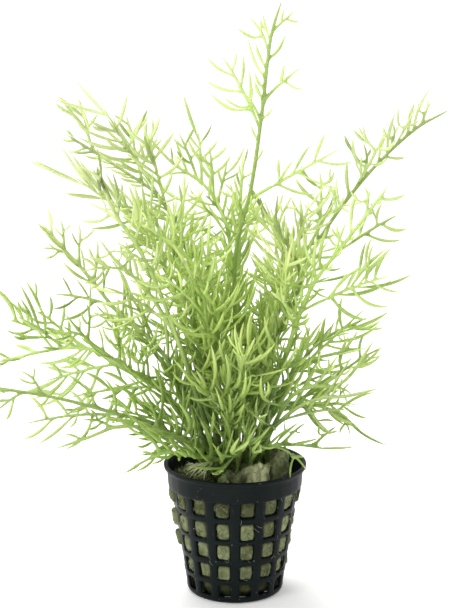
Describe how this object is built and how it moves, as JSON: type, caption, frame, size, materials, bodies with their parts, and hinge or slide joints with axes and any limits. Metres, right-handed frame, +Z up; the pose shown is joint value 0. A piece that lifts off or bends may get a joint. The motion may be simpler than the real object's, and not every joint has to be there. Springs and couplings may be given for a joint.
{
  "type": "potted water sprite",
  "caption": "Bushy aquarium fern with finely forked yellow-green fronds, rooted in rockwool in a round black plastic net pot.",
  "frame": {"origin": "middle of the pot's flat base, on the surface it stands on", "axes": "+Z up, -Y the front that the picture shows, +X to the right"},
  "size_m": [0.181, 0.1093, 0.226],
  "materials": {
    "pot_plastic": "satin black moulded polypropylene",
    "rockwool": "fibrous olive-grey mineral wool",
    "crown": "dull brown-green rootstock",
    "roots": "fine tangled roots, dull",
    "frond": "soft satin leaf, slightly translucent"
  },
  "bodies": {
    "root": {"net_pot": "pot_plastic", "rockwool_plug": "rockwool", "crown": "crown", "root_clump": "roots", "frond_tall": "frond", "frond_right_high": "frond", "frond_right_mid": "frond", "frond_centre_right": "frond", "frond_right_arching": "frond", "frond_right_rising": "frond", "frond_right_low": "frond", "frond_right_drooping": "frond", "frond_right_hanging": "frond", "frond_right_leafy": "frond", "frond_upper_left": "frond", "frond_second_left": "frond", "frond_left_leafy": "frond", "frond_left_curling": "frond", "frond_left_mid": "frond", "frond_left_inner": "frond", "frond_left_dark": "frond", "frond_left_low": "frond", "frond_left_fan": "frond", "frond_left_bottom": "frond", "frond_left_lowest": "frond", "frond_left_small": "frond", "frond_front_left": "frond", "frond_front": "frond", "frond_front_low": "frond", "frond_inner_1": "frond", "frond_inner_2": "frond", "frond_inner_3": "frond", "frond_inner_4": "frond", "frond_back_1": "frond", "frond_back_2": "frond", "frond_back_3": "frond", "frond_back_4": "frond", "frond_back_5": "frond", "frond_back_6": "frond"}
  },
  "joints": []
}
